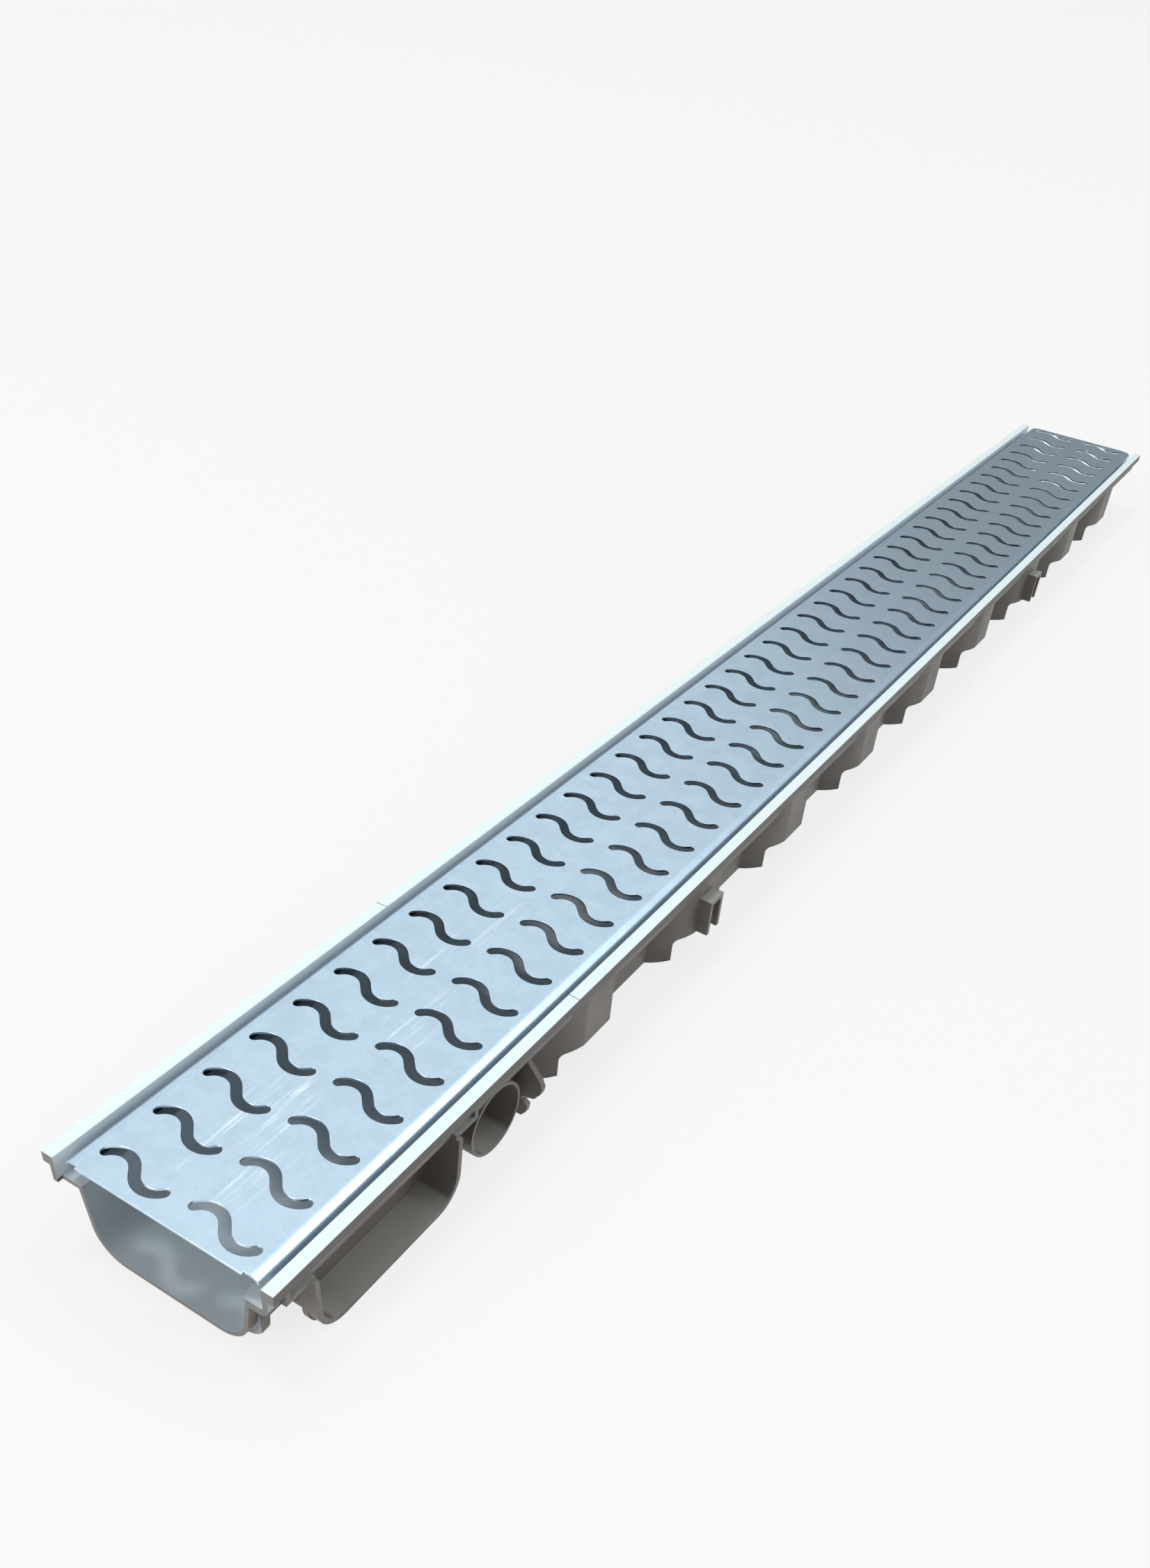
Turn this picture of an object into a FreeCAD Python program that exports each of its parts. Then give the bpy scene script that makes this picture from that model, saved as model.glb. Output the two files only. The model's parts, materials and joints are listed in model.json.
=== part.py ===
"""Linear drainage channel: a moulded polypropylene channel body and a folded steel grate.

The channel runs along Y and its floor stands on Z = 0.  A station is a distance along the
length from the near rim end, so Y = station - LENGTH / 2.  All sizes are in millimetres.
"""
import FreeCAD, Part
import math
import os

os.makedirs("parts", exist_ok=True)

# --- overall size ---------------------------------------------------------
LENGTH = 1000.0            # rim end to rim end
RIM_WIDTH = 98.0           # over the outer lips
HEIGHT = 41.0              # floor underside to rim top
RIM_HALF = RIM_WIDTH / 2

# --- rim, rebate and ledge ------------------------------------------------
RIM_STRIP = 5.0            # width of the flat strip on each side of the grate
LIP_DROP = 4.5             # height of the outer lip
REBATE_DEPTH = 10.0        # rim top down to the ledge that carries the grate
REBATE_WALL = 2.0          # upright wall beside the grate
LEDGE_WALL = 1.8
LEDGE_SEAT = 7.3           # from the rebate's side down to the outside of the trough
END_RECESS = 2.0           # trough ends stand back from the rim ends
OPENING_HALF = RIM_HALF - RIM_STRIP
REBATE_OUTER = OPENING_HALF + REBATE_WALL
LEDGE_TOP = HEIGHT - REBATE_DEPTH
LEDGE_UNDER = LEDGE_TOP - LEDGE_WALL
LIP_UNDER = HEIGHT - LIP_DROP

# --- U profiles: half width under the ledge, lean of the walls in degrees, corner radius
TROUGH_HALF = OPENING_HALF - LEDGE_SEAT
TROUGH = (TROUGH_HALF, 8.0, 13.8)
TROUGH_WALL = 1.8
END_RING = (TROUGH_HALF + 1.2, 3.0, 10.0)
BRANCH = (TROUGH_HALF + 1.8, 2.5, 13.0)
BRANCH_RING = (TROUGH_HALF + 1.8, 2.5, 10.5)
BRANCH_WALL = 2.2

# --- spigot ring near each end ---------------------------------------------
SPIGOT_LENGTH = 4.5        # plain stretch in front of the ring
RING_WIDTH = 2.5

# --- branch connector on each side -----------------------------------------
BRANCH_STATION = 55.3
BRANCH_MOUTH = RIM_HALF + 0.5    # half width over the two mouths
BRANCH_SHELF = RIM_HALF - 1.0    # half width over the two shelves above the mouths
BRANCH_NECK_INSET = 0.8          # the neck behind the ring is this much smaller all round
PILLAR_WALL = 2.0

# --- corrugated side skirts ------------------------------------------------
SKIRT_WALL = 1.8
VALLEY_HALF = TROUGH_HALF - 1.3  # outer face of the skirt between the bays
PAD_HALF = RIM_HALF - 0.5        # outer face of the bay pads, just inside the lip
KNEE_HALF = PAD_HALF - 4.6       # where the rounded flank turns towards the pad
FOOT_HALF = PAD_HALF - 7.5       # nothing below the pads reaches further out
BAY_PITCH = 91.6
FIRST_BAY = 176.5          # station where the first pad starts
PAD_LENGTH = 19.5
PAD_BOTTOM = 11.0          # height of the pads' lower edge
ROUND_FLANK = 20.0         # length of the rounded flank ahead of each pad
KNEE_RUN = 11.3
FLANK_ANGLE = 45.0         # straight flank behind each pad
FLANK_RUN = (PAD_HALF - VALLEY_HALF) / math.tan(math.radians(FLANK_ANGLE))
NOTCH_R = 2.5
SKIRT_START = BRANCH_STATION - BRANCH[0] + BRANCH[2]
SKIRT_END = LENGTH - 24.0
LAST_VALLEY = 8.0          # least plain stretch of skirt behind the last bay
BAY_ROOM = SKIRT_END - LAST_VALLEY - FIRST_BAY - PAD_LENGTH - FLANK_RUN
BAY_COUNT = int(BAY_ROOM / BAY_PITCH) + 1

# --- round outlet on the right ----------------------------------------------
OUTLET_STATION = 118.6
OUTLET_R = 15.4            # outside
OUTLET_WALL = 1.3
OUTLET_HEIGHT = 15.7       # axis above the floor's underside
OUTLET_MOUTH = RIM_HALF - 2.5    # mouth face from the middle of the channel

# --- hook plate and anchor clips ---------------------------------------------
SIDE_REACH = RIM_HALF + 5.2      # the furthest point of hooks and clips from the middle
HOOK_STATION = 139.8
HOOK_WALL = 2.5
HOOK_EDGE = (              # distance inside SIDE_REACH and height, from the hook down to the nub
    (2.2, 22.0), (1.0, 19.0), (1.6, 16.0), (4.2, 12.2), (9.8, 10.4),
    (11.2, 7.4), (9.0, 8.1), (7.1, 6.6), (7.6, 3.0), (9.6, 0.4),
)
CLIP_BAYS = (1, BAY_COUNT - 3)   # bays that carry a clip, counted from zero
CLIP_LEAD = 5.8            # middle of the clip behind the pad's near edge
CLIP_WALL = 2.2
CLIP_GAP = 6.8             # clear width between the two prongs
CLIP_TOP = 29.6
CLIP_BOTTOM = 12.0
CLIP_BRIDGE = 2.0

# --- tongue that lines up two channels -----------------------------------------
TONGUE_INNER = TROUGH_HALF - 0.9  # inner edge from the middle
TONGUE_WIDTH = 9.0
TONGUE_HEIGHT = 3.5
TONGUE_R = 1.6

# --- grate ---------------------------------------------------------------------
SHEET = 1.0
GRATE_SIDE_GAP = 2.8       # clearance between the grate and the rebate's walls
GRATE_HALF = OPENING_HALF - GRATE_SIDE_GAP
GRATE_BEND_R = 1.6         # outside
GRATE_END_GAP = 1.25       # grate ends stand back from the rim ends
GRATE_LENGTH = LENGTH - 2 * GRATE_END_GAP
GRATE_DROP = 0.2           # sheet top below the rim top
GRATE_TOP = HEIGHT - GRATE_DROP
GRATE_FLAT = GRATE_HALF - GRATE_BEND_R
FOLD_SETBACK = 6.0         # the folded sides start this far from the grate's ends
CORNER_STEP = 1.1          # flat corners stand back from the grate's ends
CORNER_WIDTH = 5.8

# --- wave slots ------------------------------------------------------------------
SLOT_WIDTH = 4.0
SLOT_PITCH = 22.8
SLOT_SIDE_MARGIN = 6.24    # from the slots' tips to the side of the grate
SLOT_WEB = 7.12            # plain strip between the two rows
FIRST_SLOT = 9.9           # centre of the first slot from the grate's near end
LAST_SLOT_MARGIN = 7.0     # least distance from a slot centre to the far end
SLOT_COUNT = int((GRATE_LENGTH - FIRST_SLOT - LAST_SLOT_MARGIN) / SLOT_PITCH) + 1
WAVE_RISE = 4.0            # crest of the slot's centre line
WAVE_SLOPE = math.radians(47.0)  # where the two bends meet
WAVE_SWEEP = math.radians(51.3)  # from each crest to the slot's end
WAVE_SPAN = (GRATE_HALF - SLOT_SIDE_MARGIN - SLOT_WEB / 2 - SLOT_WIDTH) / 2
WAVE_R = ((WAVE_SPAN - WAVE_RISE / math.tan(WAVE_SLOPE))
          / (math.tan(WAVE_SLOPE / 2) + math.sin(WAVE_SWEEP)))
ROW_HALF = SLOT_WEB / 2 + SLOT_WIDTH / 2 + WAVE_SPAN
BEND_CHORDS = 4            # short straight cuts that make up each bend
TIP_CHORDS = 3             # and each round tip

OVER = 5.0                 # how far cutters run past the faces they cut


def vec(x, y, z=0.0):
    """A point or direction."""
    return FreeCAD.Vector(x, y, z)


def ray(angle):
    """Unit direction in the XY plane."""
    return vec(math.cos(angle), math.sin(angle))


def at(station):
    """Y of a station."""
    return station - LENGTH / 2


def line(a, b):
    """Straight edge between two points."""
    return Part.LineSegment(a, b).toShape()


def arc(a, mid, b):
    """Round edge through three points."""
    return Part.Arc(a, mid, b).toShape()


def box(x0, x1, y0, y1, z0, z1):
    """Box between two corners."""
    return Part.makeBox(x1 - x0, y1 - y0, z1 - z0, vec(x0, y0, z0))


def outline(points):
    """Closed wire of straight edges."""
    return Part.makePolygon(points + points[:1])


def along_y(wire, start, length):
    """Solid from a wire in the XZ plane, from a station."""
    face = Part.Face(wire)
    face.translate(vec(0, at(start)))
    return face.extrude(vec(0, length))


def mirrored(shape):
    """The same shape on the other side of the channel."""
    return shape.mirror(vec(0, 0), vec(1, 0))


def turned(shape):
    """The same shape turned half a turn about the middle of the channel."""
    copy = shape.copy()
    copy.rotate(vec(0, 0), vec(0, 0, 1), 180)
    return copy


# --- U section ----------------------------------------------------------------------
def u_wire(profile, inset, top):
    """U section: leaning walls, round bottom corners and a flat floor.

    inset is how far the section lies inside the profile's outer face.
    """
    half_width, lean, corner_r = profile
    lean = math.radians(lean)
    rise = LEDGE_UNDER - corner_r
    corner_x = half_width - (corner_r + rise * math.sin(lean)) / math.cos(lean)
    radius = corner_r - inset
    middle = (math.pi / 2 + lean) / 2
    wall = vec(corner_x + radius * math.cos(lean), 0, corner_r - radius * math.sin(lean))
    bend = vec(corner_x + radius * math.cos(middle), 0, corner_r - radius * math.sin(middle))
    floor = vec(corner_x, 0, corner_r - radius)
    brim = vec(wall.x + (top - wall.z) * math.tan(lean), 0, top)

    def flip(p):
        return vec(-p.x, p.y, p.z)

    return Part.Wire([
        line(flip(brim), flip(wall)),
        arc(flip(wall), flip(bend), flip(floor)),
        line(flip(floor), floor),
        arc(floor, bend, wall),
        line(wall, brim),
        line(brim, flip(brim)),
    ])


def u_along(profile, inset, top, start, length):
    """Solid of a U section along the channel, from a station."""
    return along_y(u_wire(profile, inset, top), start, length)


def u_across(profile, inset, top, start, length):
    """Solid of a U section across the channel, from start outwards on the right."""
    solid = Part.Face(u_wire(profile, inset, top)).extrude(vec(0, length))
    solid.rotate(vec(0, 0), vec(0, 0, 1), -90)
    solid.translate(vec(start, at(BRANCH_STATION)))
    return solid


# --- main pieces of the channel body -------------------------------------------------
def rim():
    """Top strip with its lip, and the upright wall beside the grate, on the right."""
    section = outline([
        vec(OPENING_HALF, 0, LEDGE_UNDER), vec(REBATE_OUTER, 0, LEDGE_UNDER),
        vec(REBATE_OUTER, 0, LIP_UNDER), vec(RIM_HALF, 0, LIP_UNDER),
        vec(RIM_HALF, 0, HEIGHT), vec(OPENING_HALF, 0, HEIGHT),
    ])
    return along_y(section, 0, LENGTH)


def ledge():
    """Slab that the ledges on both sides are left from when the cavity is cut."""
    return box(-REBATE_OUTER, REBATE_OUTER, at(END_RECESS), at(LENGTH - END_RECESS),
               LEDGE_UNDER, LEDGE_TOP)


def end_ring():
    """Raised ring round the trough behind the near spigot."""
    return u_along(END_RING, 0, LEDGE_UNDER, END_RECESS + SPIGOT_LENGTH, RING_WIDTH)


def cavity():
    """Flow channel and the rebate above it, cut from end to end."""
    flow = u_along(TROUGH, TROUGH_WALL, HEIGHT, -OVER, LENGTH + 2 * OVER)
    rebate = box(-OPENING_HALF, OPENING_HALF, at(-OVER), at(LENGTH + OVER), LEDGE_TOP, HEIGHT + OVER)
    below_ledge = box(-RIM_WIDTH, RIM_WIDTH, at(-2 * OVER), at(LENGTH + 2 * OVER), -OVER, LEDGE_TOP)
    return rebate.fuse(flow.common(below_ledge))


# --- skirts -------------------------------------------------------------------------
def bay_start(index):
    """Station where a bay's pad starts."""
    return FIRST_BAY + index * BAY_PITCH


def skirt_plan(inset, height):
    """Plan of the corrugated right side, from the middle of the channel outwards.

    inset moves the whole outline inwards, for the hollow behind the skirt.
    """
    valley = VALLEY_HALF - inset
    pad = PAD_HALF - inset
    slant = math.tan(math.radians(FLANK_ANGLE / 2)) * inset
    here = vec(0, at(SKIRT_START + inset), height)
    last = vec(valley, here.y, height)
    edges = [line(here, last)]
    for index in range(BAY_COUNT):
        start = at(bay_start(index))
        end = start + PAD_LENGTH
        foot = vec(valley, start - ROUND_FLANK + inset / 2, height)
        knee = vec(KNEE_HALF - 0.8 * inset, start - KNEE_RUN + 0.6 * inset, height)
        front = vec(pad, start + inset / 4, height)
        back = vec(pad, end - slant, height)
        rest = vec(valley, end + FLANK_RUN - slant, height)
        edges += [line(last, foot), arc(foot, knee, front), line(front, back), line(back, rest)]
        last = rest
    far = vec(valley, at(SKIRT_END - inset), height)
    middle = vec(0, far.y, height)
    edges += [line(last, far), line(far, middle), line(middle, here)]
    return Part.Face(Part.Wire(edges))


def pad_cutters():
    """Blocks that clear the space under the pads and leave the feet of the flanks."""
    start = at(bay_start(0))
    block = box(FOOT_HALF, RIM_WIDTH, start - KNEE_RUN, start + PAD_LENGTH + PAD_HALF - FOOT_HALF,
                -OVER, PAD_BOTTOM)
    near = block.BoundBox.YMin + 0.01
    notch = [e for e in block.Edges if e.BoundBox.ZMin > PAD_BOTTOM - 0.01 and e.BoundBox.YMax < near]
    block = block.makeFillet(NOTCH_R, notch)
    copies = [block.translated(vec(0, index * BAY_PITCH)) for index in range(1, BAY_COUNT)]
    return block.fuse(copies)


def skirt():
    """Hollow corrugated skirt on the right, open below."""
    outer = skirt_plan(0, 0).extrude(vec(0, 0, LIP_UNDER))
    inner = skirt_plan(SKIRT_WALL, -OVER).extrude(vec(0, 0, LEDGE_UNDER + OVER))
    return outer.cut(inner).cut(pad_cutters())


# --- connectors ------------------------------------------------------------------------
def branch():
    """Side connector on the right: mouth, ring and neck in front of a knock-out panel."""
    root = VALLEY_HALF - SKIRT_WALL
    spigot = BRANCH_MOUTH - SPIGOT_LENGTH
    neck = u_across(BRANCH, BRANCH_NECK_INSET, LEDGE_UNDER, root, spigot - root)
    ring = u_across(BRANCH_RING, 0, LEDGE_UNDER, spigot - RING_WIDTH, RING_WIDTH)
    mouth = u_across(BRANCH, 0, LEDGE_UNDER, spigot, SPIGOT_LENGTH)
    middle = at(BRANCH_STATION)
    near = middle - BRANCH_MOUTH
    far = middle + BRANCH_MOUTH
    shelf = box(OPENING_HALF, BRANCH_SHELF, near, far, LEDGE_UNDER, LEDGE_TOP)
    pillars = [box(OPENING_HALF, BRANCH_SHELF, y, y + PILLAR_WALL, LEDGE_UNDER, LIP_UNDER)
               for y in (near, far - PILLAR_WALL)]
    return neck.fuse([ring, mouth, shelf] + pillars)


def branch_hollow():
    """Space inside the side connector on the right, up to its knock-out panel.

    Outside the upright wall it rises to the lip, which parts the shelf over the mouth.
    """
    end = BRANCH_MOUTH + OVER
    channel = u_across(BRANCH, BRANCH_WALL, LEDGE_UNDER, VALLEY_HALF, end - VALLEY_HALF)
    brow = u_across(BRANCH, BRANCH_WALL, LIP_UNDER, REBATE_OUTER, end - REBATE_OUTER)
    return channel.fuse(brow)


def outlet():
    """Round outlet tube on the right."""
    root = VALLEY_HALF - SKIRT_WALL
    return Part.makeCylinder(OUTLET_R, OUTLET_MOUTH - root,
                             vec(root, at(OUTLET_STATION), OUTLET_HEIGHT), vec(1, 0))


def outlet_bore():
    """Hole in the outlet, blind at the skirt."""
    return Part.makeCylinder(OUTLET_R - OUTLET_WALL, RIM_WIDTH,
                             vec(VALLEY_HALF, at(OUTLET_STATION), OUTLET_HEIGHT), vec(1, 0))


def hook_plate():
    """Upright plate with an upper hook and a lower nub, beside the outlet."""
    root = VALLEY_HALF - SKIRT_WALL
    edge = [vec(SIDE_REACH - inside, 0, height) for inside, height in HOOK_EDGE]
    top = [vec(root, 0, LEDGE_UNDER), vec(REBATE_OUTER, 0, LEDGE_UNDER)]
    section = outline(top + edge + [vec(root, 0, edge[-1].z)])
    return along_y(section, HOOK_STATION - HOOK_WALL / 2, HOOK_WALL)


def clip(index):
    """Two-pronged anchor clip on a bay's pad, on the right."""
    middle = at(bay_start(index)) + CLIP_LEAD
    inner = PAD_HALF - SKIRT_WALL
    half = CLIP_GAP / 2 + CLIP_WALL
    bridge = box(inner, SIDE_REACH, middle - half, middle + half, CLIP_TOP - CLIP_BRIDGE, CLIP_TOP)
    prongs = [box(inner, SIDE_REACH, middle + edge, middle + edge + CLIP_WALL, CLIP_BOTTOM, CLIP_TOP)
              for edge in (-half, CLIP_GAP / 2)]
    return bridge.fuse(prongs)


def tongue():
    """Locating tongue under the right ledge, reaching out from the near end."""
    solid = box(TONGUE_INNER, TONGUE_INNER + TONGUE_WIDTH, at(0), at(3 * END_RECESS),
                LEDGE_TOP - TONGUE_HEIGHT, LEDGE_TOP)
    upright = [e for e in solid.Edges
               if e.BoundBox.ZLength > TONGUE_HEIGHT / 2 and e.BoundBox.YMax < at(0) + 0.01]
    return solid.makeFillet(TONGUE_R, upright)


def channel_body():
    """One moulding: trough, ledges, rim, skirts, connectors, outlet, hooks and clips."""
    right = [rim(), skirt(), branch()] + [clip(index) for index in CLIP_BAYS]
    left = [mirrored(shape) for shape in right]
    ends = [end_ring(), turned(end_ring()), tongue(), turned(tongue())]
    body = u_along(TROUGH, 0, LEDGE_UNDER, END_RECESS, LENGTH - 2 * END_RECESS)
    body = body.fuse([ledge(), outlet(), hook_plate()] + ends + right + left)
    hollow = branch_hollow()
    return body.cut([cavity(), hollow, mirrored(hollow), outlet_bore()]).removeSplitter()


# --- grate ------------------------------------------------------------------------------------
def slot_wire(x, y):
    """Outline of one wave slot: two opposite bends joined by a short slanting stretch."""
    slope_cos = math.cos(WAVE_SLOPE)
    crest_x = (WAVE_R * (1 - slope_cos) + WAVE_RISE * slope_cos) / math.sin(WAVE_SLOPE)
    bend = vec(-crest_x, WAVE_RISE - WAVE_R)
    end = math.pi / 2 + WAVE_SWEEP
    turn = WAVE_SLOPE + WAVE_SWEEP
    half = SLOT_WIDTH / 2
    steps = [turn * i / BEND_CHORDS for i in range(BEND_CHORDS + 1)]
    outer = [bend + ray(end - a) * (WAVE_R + half) for a in steps]
    inner = [(bend + ray(end - turn + a) * (WAVE_R - half)) * -1 for a in steps]
    tip = (bend + ray(end) * WAVE_R) * -1
    cap = [tip + ray(end - math.pi * i / TIP_CHORDS) * half for i in range(1, TIP_CHORDS)]
    side = outer + inner + cap
    wire = outline(side + [p * -1 for p in side])
    wire.translate(vec(x, y, GRATE_TOP))
    return wire


def grate_plate():
    """Flat top of the grate with its two rows of wave slots."""
    start = at(GRATE_END_GAP)
    end = start + GRATE_LENGTH
    edge = outline([vec(-GRATE_FLAT, start, GRATE_TOP), vec(GRATE_FLAT, start, GRATE_TOP),
                    vec(GRATE_FLAT, end, GRATE_TOP), vec(-GRATE_FLAT, end, GRATE_TOP)])
    slots = [slot_wire(row, start + FIRST_SLOT + index * SLOT_PITCH)
             for row in (-ROW_HALF, ROW_HALF) for index in range(SLOT_COUNT)]
    face = Part.makeFace([edge] + slots, "Part::FaceMakerBullseye")
    return face.extrude(vec(0, 0, -SHEET))


def grate_fold():
    """Bend and upright flange on the right, standing on the ledge."""
    bend = vec(GRATE_FLAT, 0, GRATE_TOP - GRATE_BEND_R)
    inner_r = GRATE_BEND_R - SHEET
    inner = GRATE_HALF - SHEET
    diagonal = vec(math.sqrt(0.5), 0, math.sqrt(0.5))
    top = vec(bend.x, 0, GRATE_TOP)
    side = vec(GRATE_HALF, 0, bend.z)
    foot = vec(GRATE_HALF, 0, LEDGE_TOP)
    heel = vec(inner, 0, LEDGE_TOP)
    neck = vec(inner, 0, bend.z)
    under = vec(bend.x, 0, GRATE_TOP - SHEET)
    edges = [
        arc(top, bend + diagonal * GRATE_BEND_R, side), line(side, foot), line(foot, heel),
        line(heel, neck), arc(neck, bend + diagonal * inner_r, under), line(under, top),
    ]
    return along_y(Part.Wire(edges), GRATE_END_GAP + FOLD_SETBACK, GRATE_LENGTH - 2 * FOLD_SETBACK)


def corner():
    """Flat corner of the grate at the near right, in front of the folded side."""
    start = at(GRATE_END_GAP)
    return box(GRATE_FLAT, GRATE_HALF, start + CORNER_STEP, start + FOLD_SETBACK,
               GRATE_TOP - SHEET, GRATE_TOP)


def corner_cut():
    """Step that sets the near right corner back from the grate's end."""
    start = at(GRATE_END_GAP)
    return box(GRATE_HALF - CORNER_WIDTH, GRATE_HALF + OVER, start - OVER, start + CORNER_STEP,
               LEDGE_TOP, HEIGHT + OVER)


def four(shape):
    """The shape at all four corners of the grate."""
    pair = [shape, mirrored(shape)]
    return pair + [turned(each) for each in pair]


def grate():
    """Sheet with two folded sides and two rows of slots."""
    fold = grate_fold()
    sheet = grate_plate().fuse([fold, mirrored(fold)] + four(corner()))
    return sheet.cut(four(corner_cut())).removeSplitter()


NODES = {"channel_body": channel_body, "grate": grate}

for name, build in NODES.items():
    shape = build()
    solids = shape.Solids
    bounds = shape.BoundBox
    print(name, "solids", len(solids), "valid", shape.isValid(), "volume", round(shape.Volume, 1))
    print("box", [round(v, 2) for v in (bounds.XMin, bounds.XMax, bounds.YMin, bounds.YMax,
                                        bounds.ZMin, bounds.ZMax)])
    solids[0].exportStep("parts/%s.step" % name)
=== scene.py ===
"""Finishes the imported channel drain: sheet-steel grate, moulded plastic, studio and camera.

Lengths named in millimetres are turned into metres by MM.  The channel runs along Y, from
the end with the side connectors at the lowest Y, and the grate's top faces +Z.
"""
import json
import logging
import math
from dataclasses import dataclass, field
from enum import Enum
from typing import Iterable, Mapping, Sequence, Union

import bmesh
import bpy
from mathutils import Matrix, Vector
from mathutils.geometry import delaunay_2d_cdt

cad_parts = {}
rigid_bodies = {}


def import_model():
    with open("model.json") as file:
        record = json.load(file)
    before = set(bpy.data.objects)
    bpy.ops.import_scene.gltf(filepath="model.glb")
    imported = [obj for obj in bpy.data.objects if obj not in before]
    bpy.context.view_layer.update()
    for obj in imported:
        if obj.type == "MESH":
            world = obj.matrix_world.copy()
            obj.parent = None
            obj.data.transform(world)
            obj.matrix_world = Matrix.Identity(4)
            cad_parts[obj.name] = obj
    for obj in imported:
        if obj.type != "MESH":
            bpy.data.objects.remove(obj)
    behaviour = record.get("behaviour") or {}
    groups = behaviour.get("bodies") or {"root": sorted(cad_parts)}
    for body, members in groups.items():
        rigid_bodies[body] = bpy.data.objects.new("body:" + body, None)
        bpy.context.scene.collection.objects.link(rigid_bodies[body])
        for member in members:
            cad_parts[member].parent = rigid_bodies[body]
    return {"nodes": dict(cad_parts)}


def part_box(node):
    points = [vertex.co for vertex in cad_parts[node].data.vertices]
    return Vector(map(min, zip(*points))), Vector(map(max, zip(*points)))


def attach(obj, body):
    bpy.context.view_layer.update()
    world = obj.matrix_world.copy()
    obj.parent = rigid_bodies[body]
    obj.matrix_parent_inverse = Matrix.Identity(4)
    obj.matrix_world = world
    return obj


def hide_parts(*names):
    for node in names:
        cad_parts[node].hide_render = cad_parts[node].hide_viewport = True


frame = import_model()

MM = 0.001
LOG = logging.getLogger("channel_drain")

BLEND_MM = 0.2  # width over which one colour of a moulding gives way to the next
INSIDE_LOOPS = 1  # asks delaunay_2d_cdt for the triangles that lie inside its loops
MERGE_MM = 1e-6  # corners closer than this are one corner to delaunay_2d_cdt

Colour = tuple[float, float, float, float]
Point = tuple[float, float]
Source = Union[bpy.types.Node, bpy.types.NodeSocket, float, Sequence[float]]
Inputs = Union[Sequence[Source], Mapping[Union[str, int], Source]]
Limit = tuple[Source, float, float]


class Side(Enum):
    """Which side of the channel a piece stands on."""

    RIGHT = 1
    LEFT = -1


def linear(code: str) -> Colour:
    """Turns an sRGB hex colour such as "#a0b0c0" into linear RGBA.

    Args:
        code: Six hex digits after a hash sign.

    Returns:
        Red, green, blue and an alpha of 1.
    """
    values = [int(code[i:i + 2], 16) / 255 for i in (1, 3, 5)]
    red, green, blue = [v / 12.92 if v <= 0.04045 else ((v + 0.055) / 1.055) ** 2.4 for v in values]
    return red, green, blue, 1.0


# --- shader nodes ------------------------------------------------------------------------
class Graph:
    """A material's or world's node tree, emptied and ready to be filled."""

    def __init__(self, tree: bpy.types.NodeTree) -> None:
        """Clears the tree and keeps it."""
        tree.nodes.clear()
        self.tree = tree

    def add(self, kind: str, inputs: Inputs = (), **settings: object) -> bpy.types.Node:
        """Adds a node with its settings, and fills or links its sockets.

        Args:
            kind: The node's type, without the "ShaderNode" it starts with.
            inputs: What goes into the sockets, in their order or by name or number. A node
                stands for its first output.
            settings: The node's own properties.

        Returns:
            The new node.
        """
        node = self.tree.nodes.new("ShaderNode" + kind)
        for name, value in settings.items():
            setattr(node, name, value)
        pairs = inputs.items() if isinstance(inputs, Mapping) else enumerate(inputs)
        for key, source in pairs:
            if isinstance(source, bpy.types.Node):
                source = source.outputs[0]
            if isinstance(source, bpy.types.NodeSocket):
                self.tree.links.new(source, node.inputs[key])
            else:
                node.inputs[key].default_value = source
        return node

    def mask(self, *limits: Limit, strength: float = 1.0) -> bpy.types.Node:
        """Measures how far a point passes every one of some limits.

        Args:
            limits: A value, where it gives 0 and where it gives 1, with a smooth rise between.
            strength: What the mask comes to where all limits are passed.

        Returns:
            The node that holds the mask.
        """
        shares = [self.add("MapRange", limit, interpolation_type="SMOOTHSTEP") for limit in limits]
        if strength != 1.0:
            shares.append(strength)
        whole = shares[0]
        for share in shares[1:]:
            whole = self.add("Math", (whole, share), operation="MULTIPLY")
        return whole

    def layered(self, first: str, *layers: tuple[Source, str]) -> bpy.types.NodeSocket:
        """Lays colours over one another.

        Args:
            first: The lowest colour, in sRGB hex.
            layers: For each colour above it, its mask and the colour itself.

        Returns:
            The socket that holds the final colour.
        """
        colour: Source = linear(first)
        for mask, code in layers:
            colour = self.add("Mix", {0: mask, 6: colour, 7: linear(code)}, data_type="RGBA").outputs[2]
        return colour

    def seen_rays(self) -> bpy.types.Node:
        """Returns a node that is 1 for camera, mirrored and transmitted rays."""
        rays = self.add("LightPath").outputs
        indirect = self.add("Math", (rays["Is Glossy Ray"], rays["Is Transmission Ray"]), operation="MAXIMUM")
        return self.add("Math", (rays["Is Camera Ray"], indirect), operation="MAXIMUM")


def past(value: Source, edge_mm: float) -> Limit:
    """Returns a limit that a length passes once it is over an edge."""
    return value, (edge_mm - BLEND_MM) * MM, edge_mm * MM


def short_of(value: Source, edge_mm: float) -> Limit:
    """Returns a limit that a length passes while it is under an edge."""
    return value, edge_mm * MM, (edge_mm - BLEND_MM) * MM


def new_material(name: str) -> tuple[bpy.types.Material, Graph]:
    """Makes an empty material and the graph that fills it.

    Args:
        name: The material's name.

    Returns:
        The material and its emptied graph.
    """
    material = bpy.data.materials.new(name)
    material.use_nodes = True
    return material, Graph(material.node_tree)


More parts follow.
